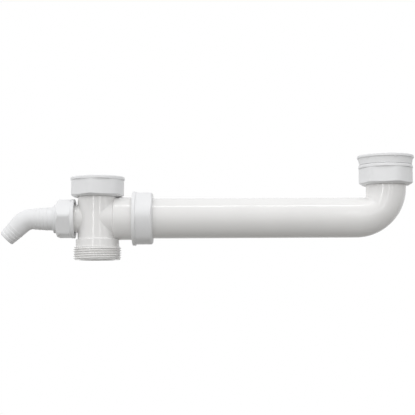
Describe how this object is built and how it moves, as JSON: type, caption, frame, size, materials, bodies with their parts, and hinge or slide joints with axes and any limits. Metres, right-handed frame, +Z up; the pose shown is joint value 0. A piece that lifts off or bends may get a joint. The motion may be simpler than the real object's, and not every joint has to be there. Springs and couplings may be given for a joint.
{
  "type": "double sink waste connector",
  "caption": "White plastic waste connector: a tee with union nut, hose nozzle and threaded outlet, joined by a compression nut to a long swept pipe with a second union inlet.",
  "frame": {"origin": "middle of the upper face of the tee's inlet washer, where the first sink waste seats, on the axis of the tee's union nut", "axes": "+Z up along the tee's upright axis, as installed; +X along the long pipe towards the second bowl's inlet; -Y faces the viewer of the picture"},
  "size_m": [0.4132, 0.0564, 0.103],
  "materials": {
    "gloss_pp": "glossy moulded polypropylene",
    "satin_pp": "satin moulded polypropylene",
    "ring_pp": "plain slippery plastic",
    "seal_rubber": "matt black rubber"
  },
  "bodies": {
    "tee": {"tee_body": "gloss_pp", "tee_inlet_washer": "seal_rubber", "compression_nut": "satin_pp", "compression_seal": "seal_rubber", "slip_ring": "ring_pp", "nozzle_nut": "satin_pp", "nozzle_washer": "seal_rubber"},
    "tee_nut": {"tee_inlet_nut": "satin_pp"},
    "pipe": {"swept_pipe": "gloss_pp"},
    "far_union": {"far_nut": "satin_pp", "far_washer": "seal_rubber", "riser_ring": "satin_pp", "riser_washer": "seal_rubber"},
    "nozzle": {"hose_nozzle": "satin_pp"}
  },
  "joints": [
    {"name": "tee_nut_spin", "type": "hinge", "parent": "tee", "child": "tee_nut", "pos_m": [0, 0, 0], "axis": [0, 0, 1], "continuous": true},
    {"name": "pipe_slide", "type": "slide", "parent": "tee", "child": "pipe", "axis": [1, 0, 0], "range_m": [0, 0.012]},
    {"name": "far_union_turn", "type": "hinge", "parent": "pipe", "child": "far_union", "pos_m": [0.2886, 0, 0.00857], "axis": [0, 0, 1], "continuous": true},
    {"name": "nozzle_turn", "type": "hinge", "parent": "tee", "child": "nozzle", "pos_m": [-0.0365, 0, -0.02903], "axis": [1, 0, 0], "continuous": true}
  ]
}
